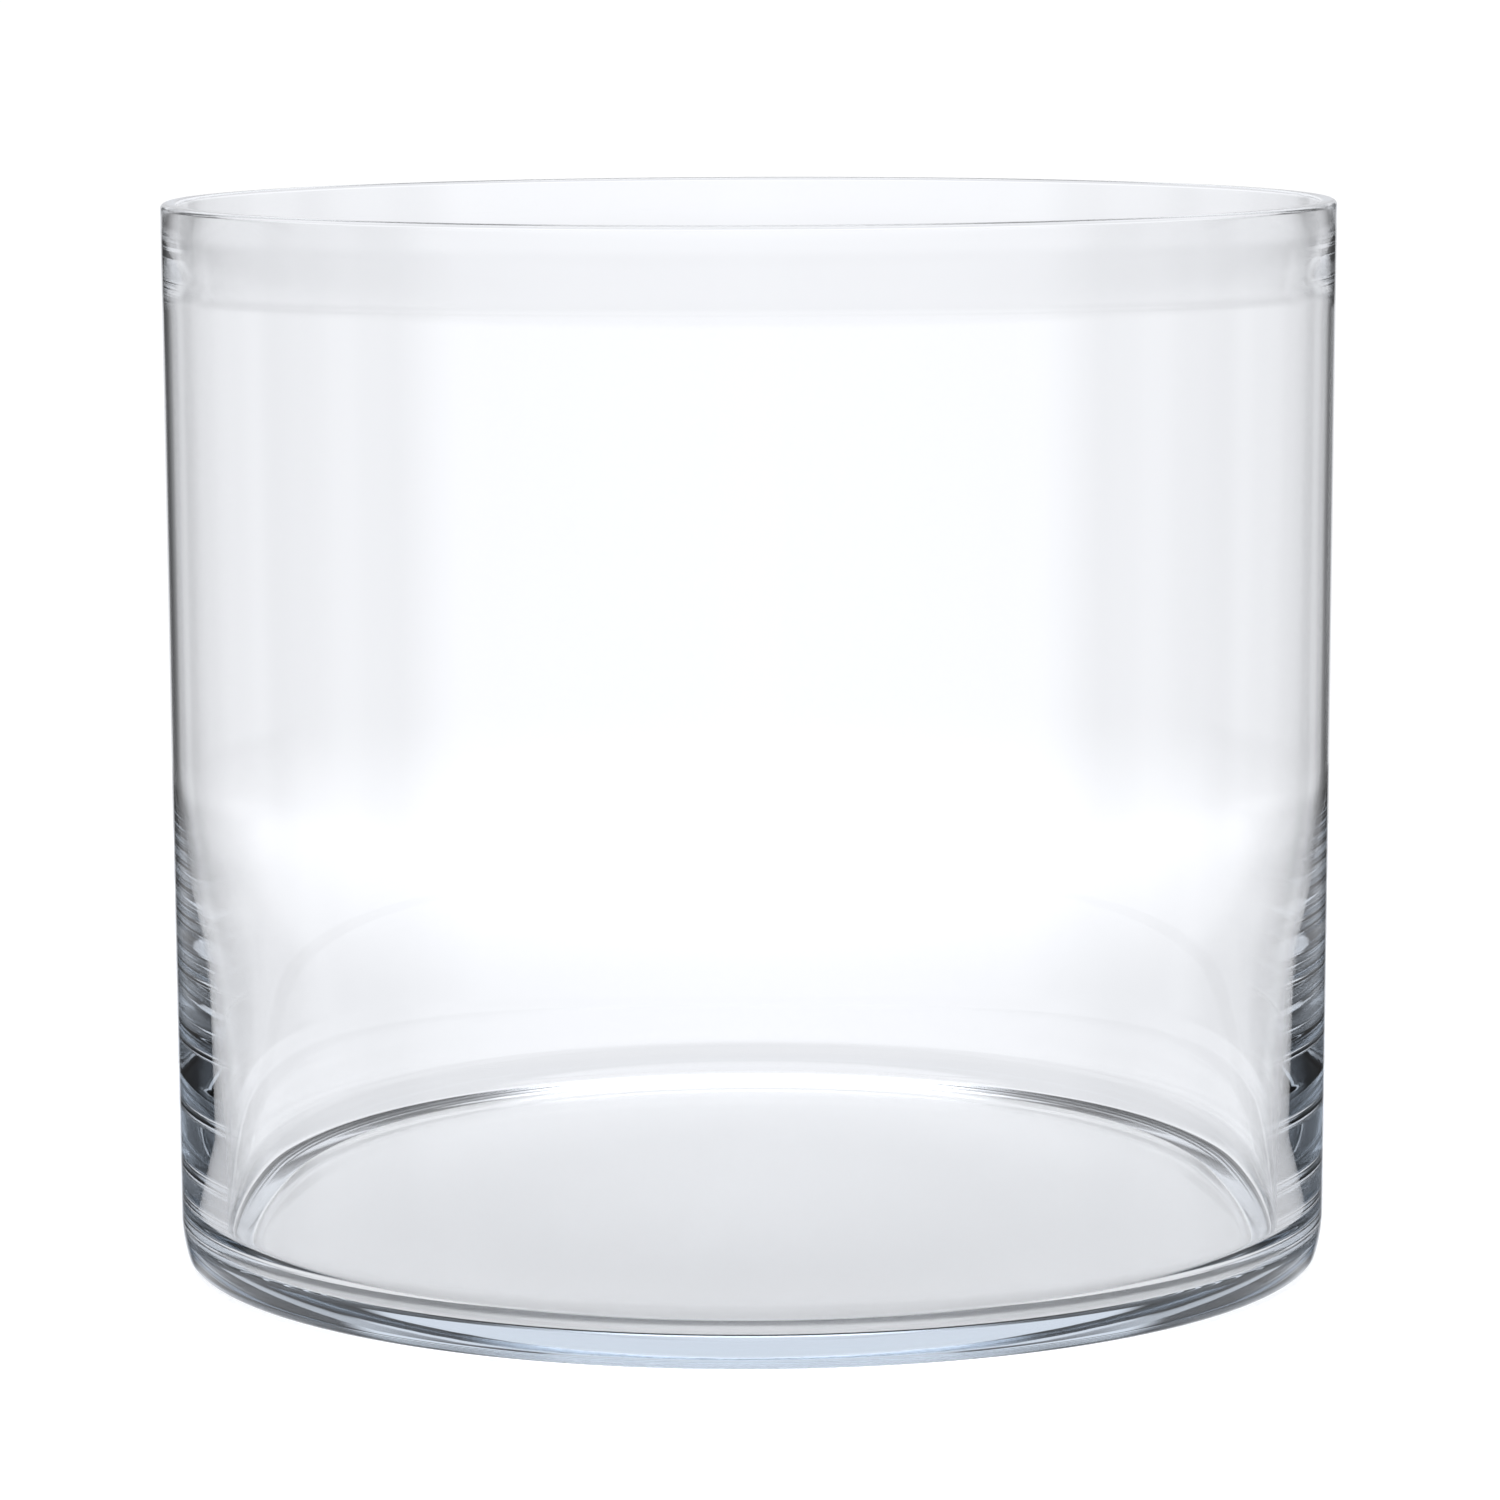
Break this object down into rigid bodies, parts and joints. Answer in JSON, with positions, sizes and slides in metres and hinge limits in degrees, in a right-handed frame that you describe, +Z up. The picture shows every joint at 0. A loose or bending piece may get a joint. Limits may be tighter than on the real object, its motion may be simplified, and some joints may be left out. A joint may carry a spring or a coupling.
{
  "type": "glass cylinder vase",
  "caption": "Wide clear glass cylinder vase with a thin straight wall, a polished rim and a thick heel and floor.",
  "frame": {"origin": "centre of the flat face that the vase stands on", "axes": "+Z up along the axis of the cylinder, out of the mouth; X and Y are interchangeable because the vase is round"},
  "size_m": [0.22, 0.22, 0.2],
  "materials": {
    "clear_glass": "clear, fire polished, smooth and glossy"
  },
  "bodies": {
    "root": {"glass_vessel": "clear_glass"}
  },
  "joints": []
}
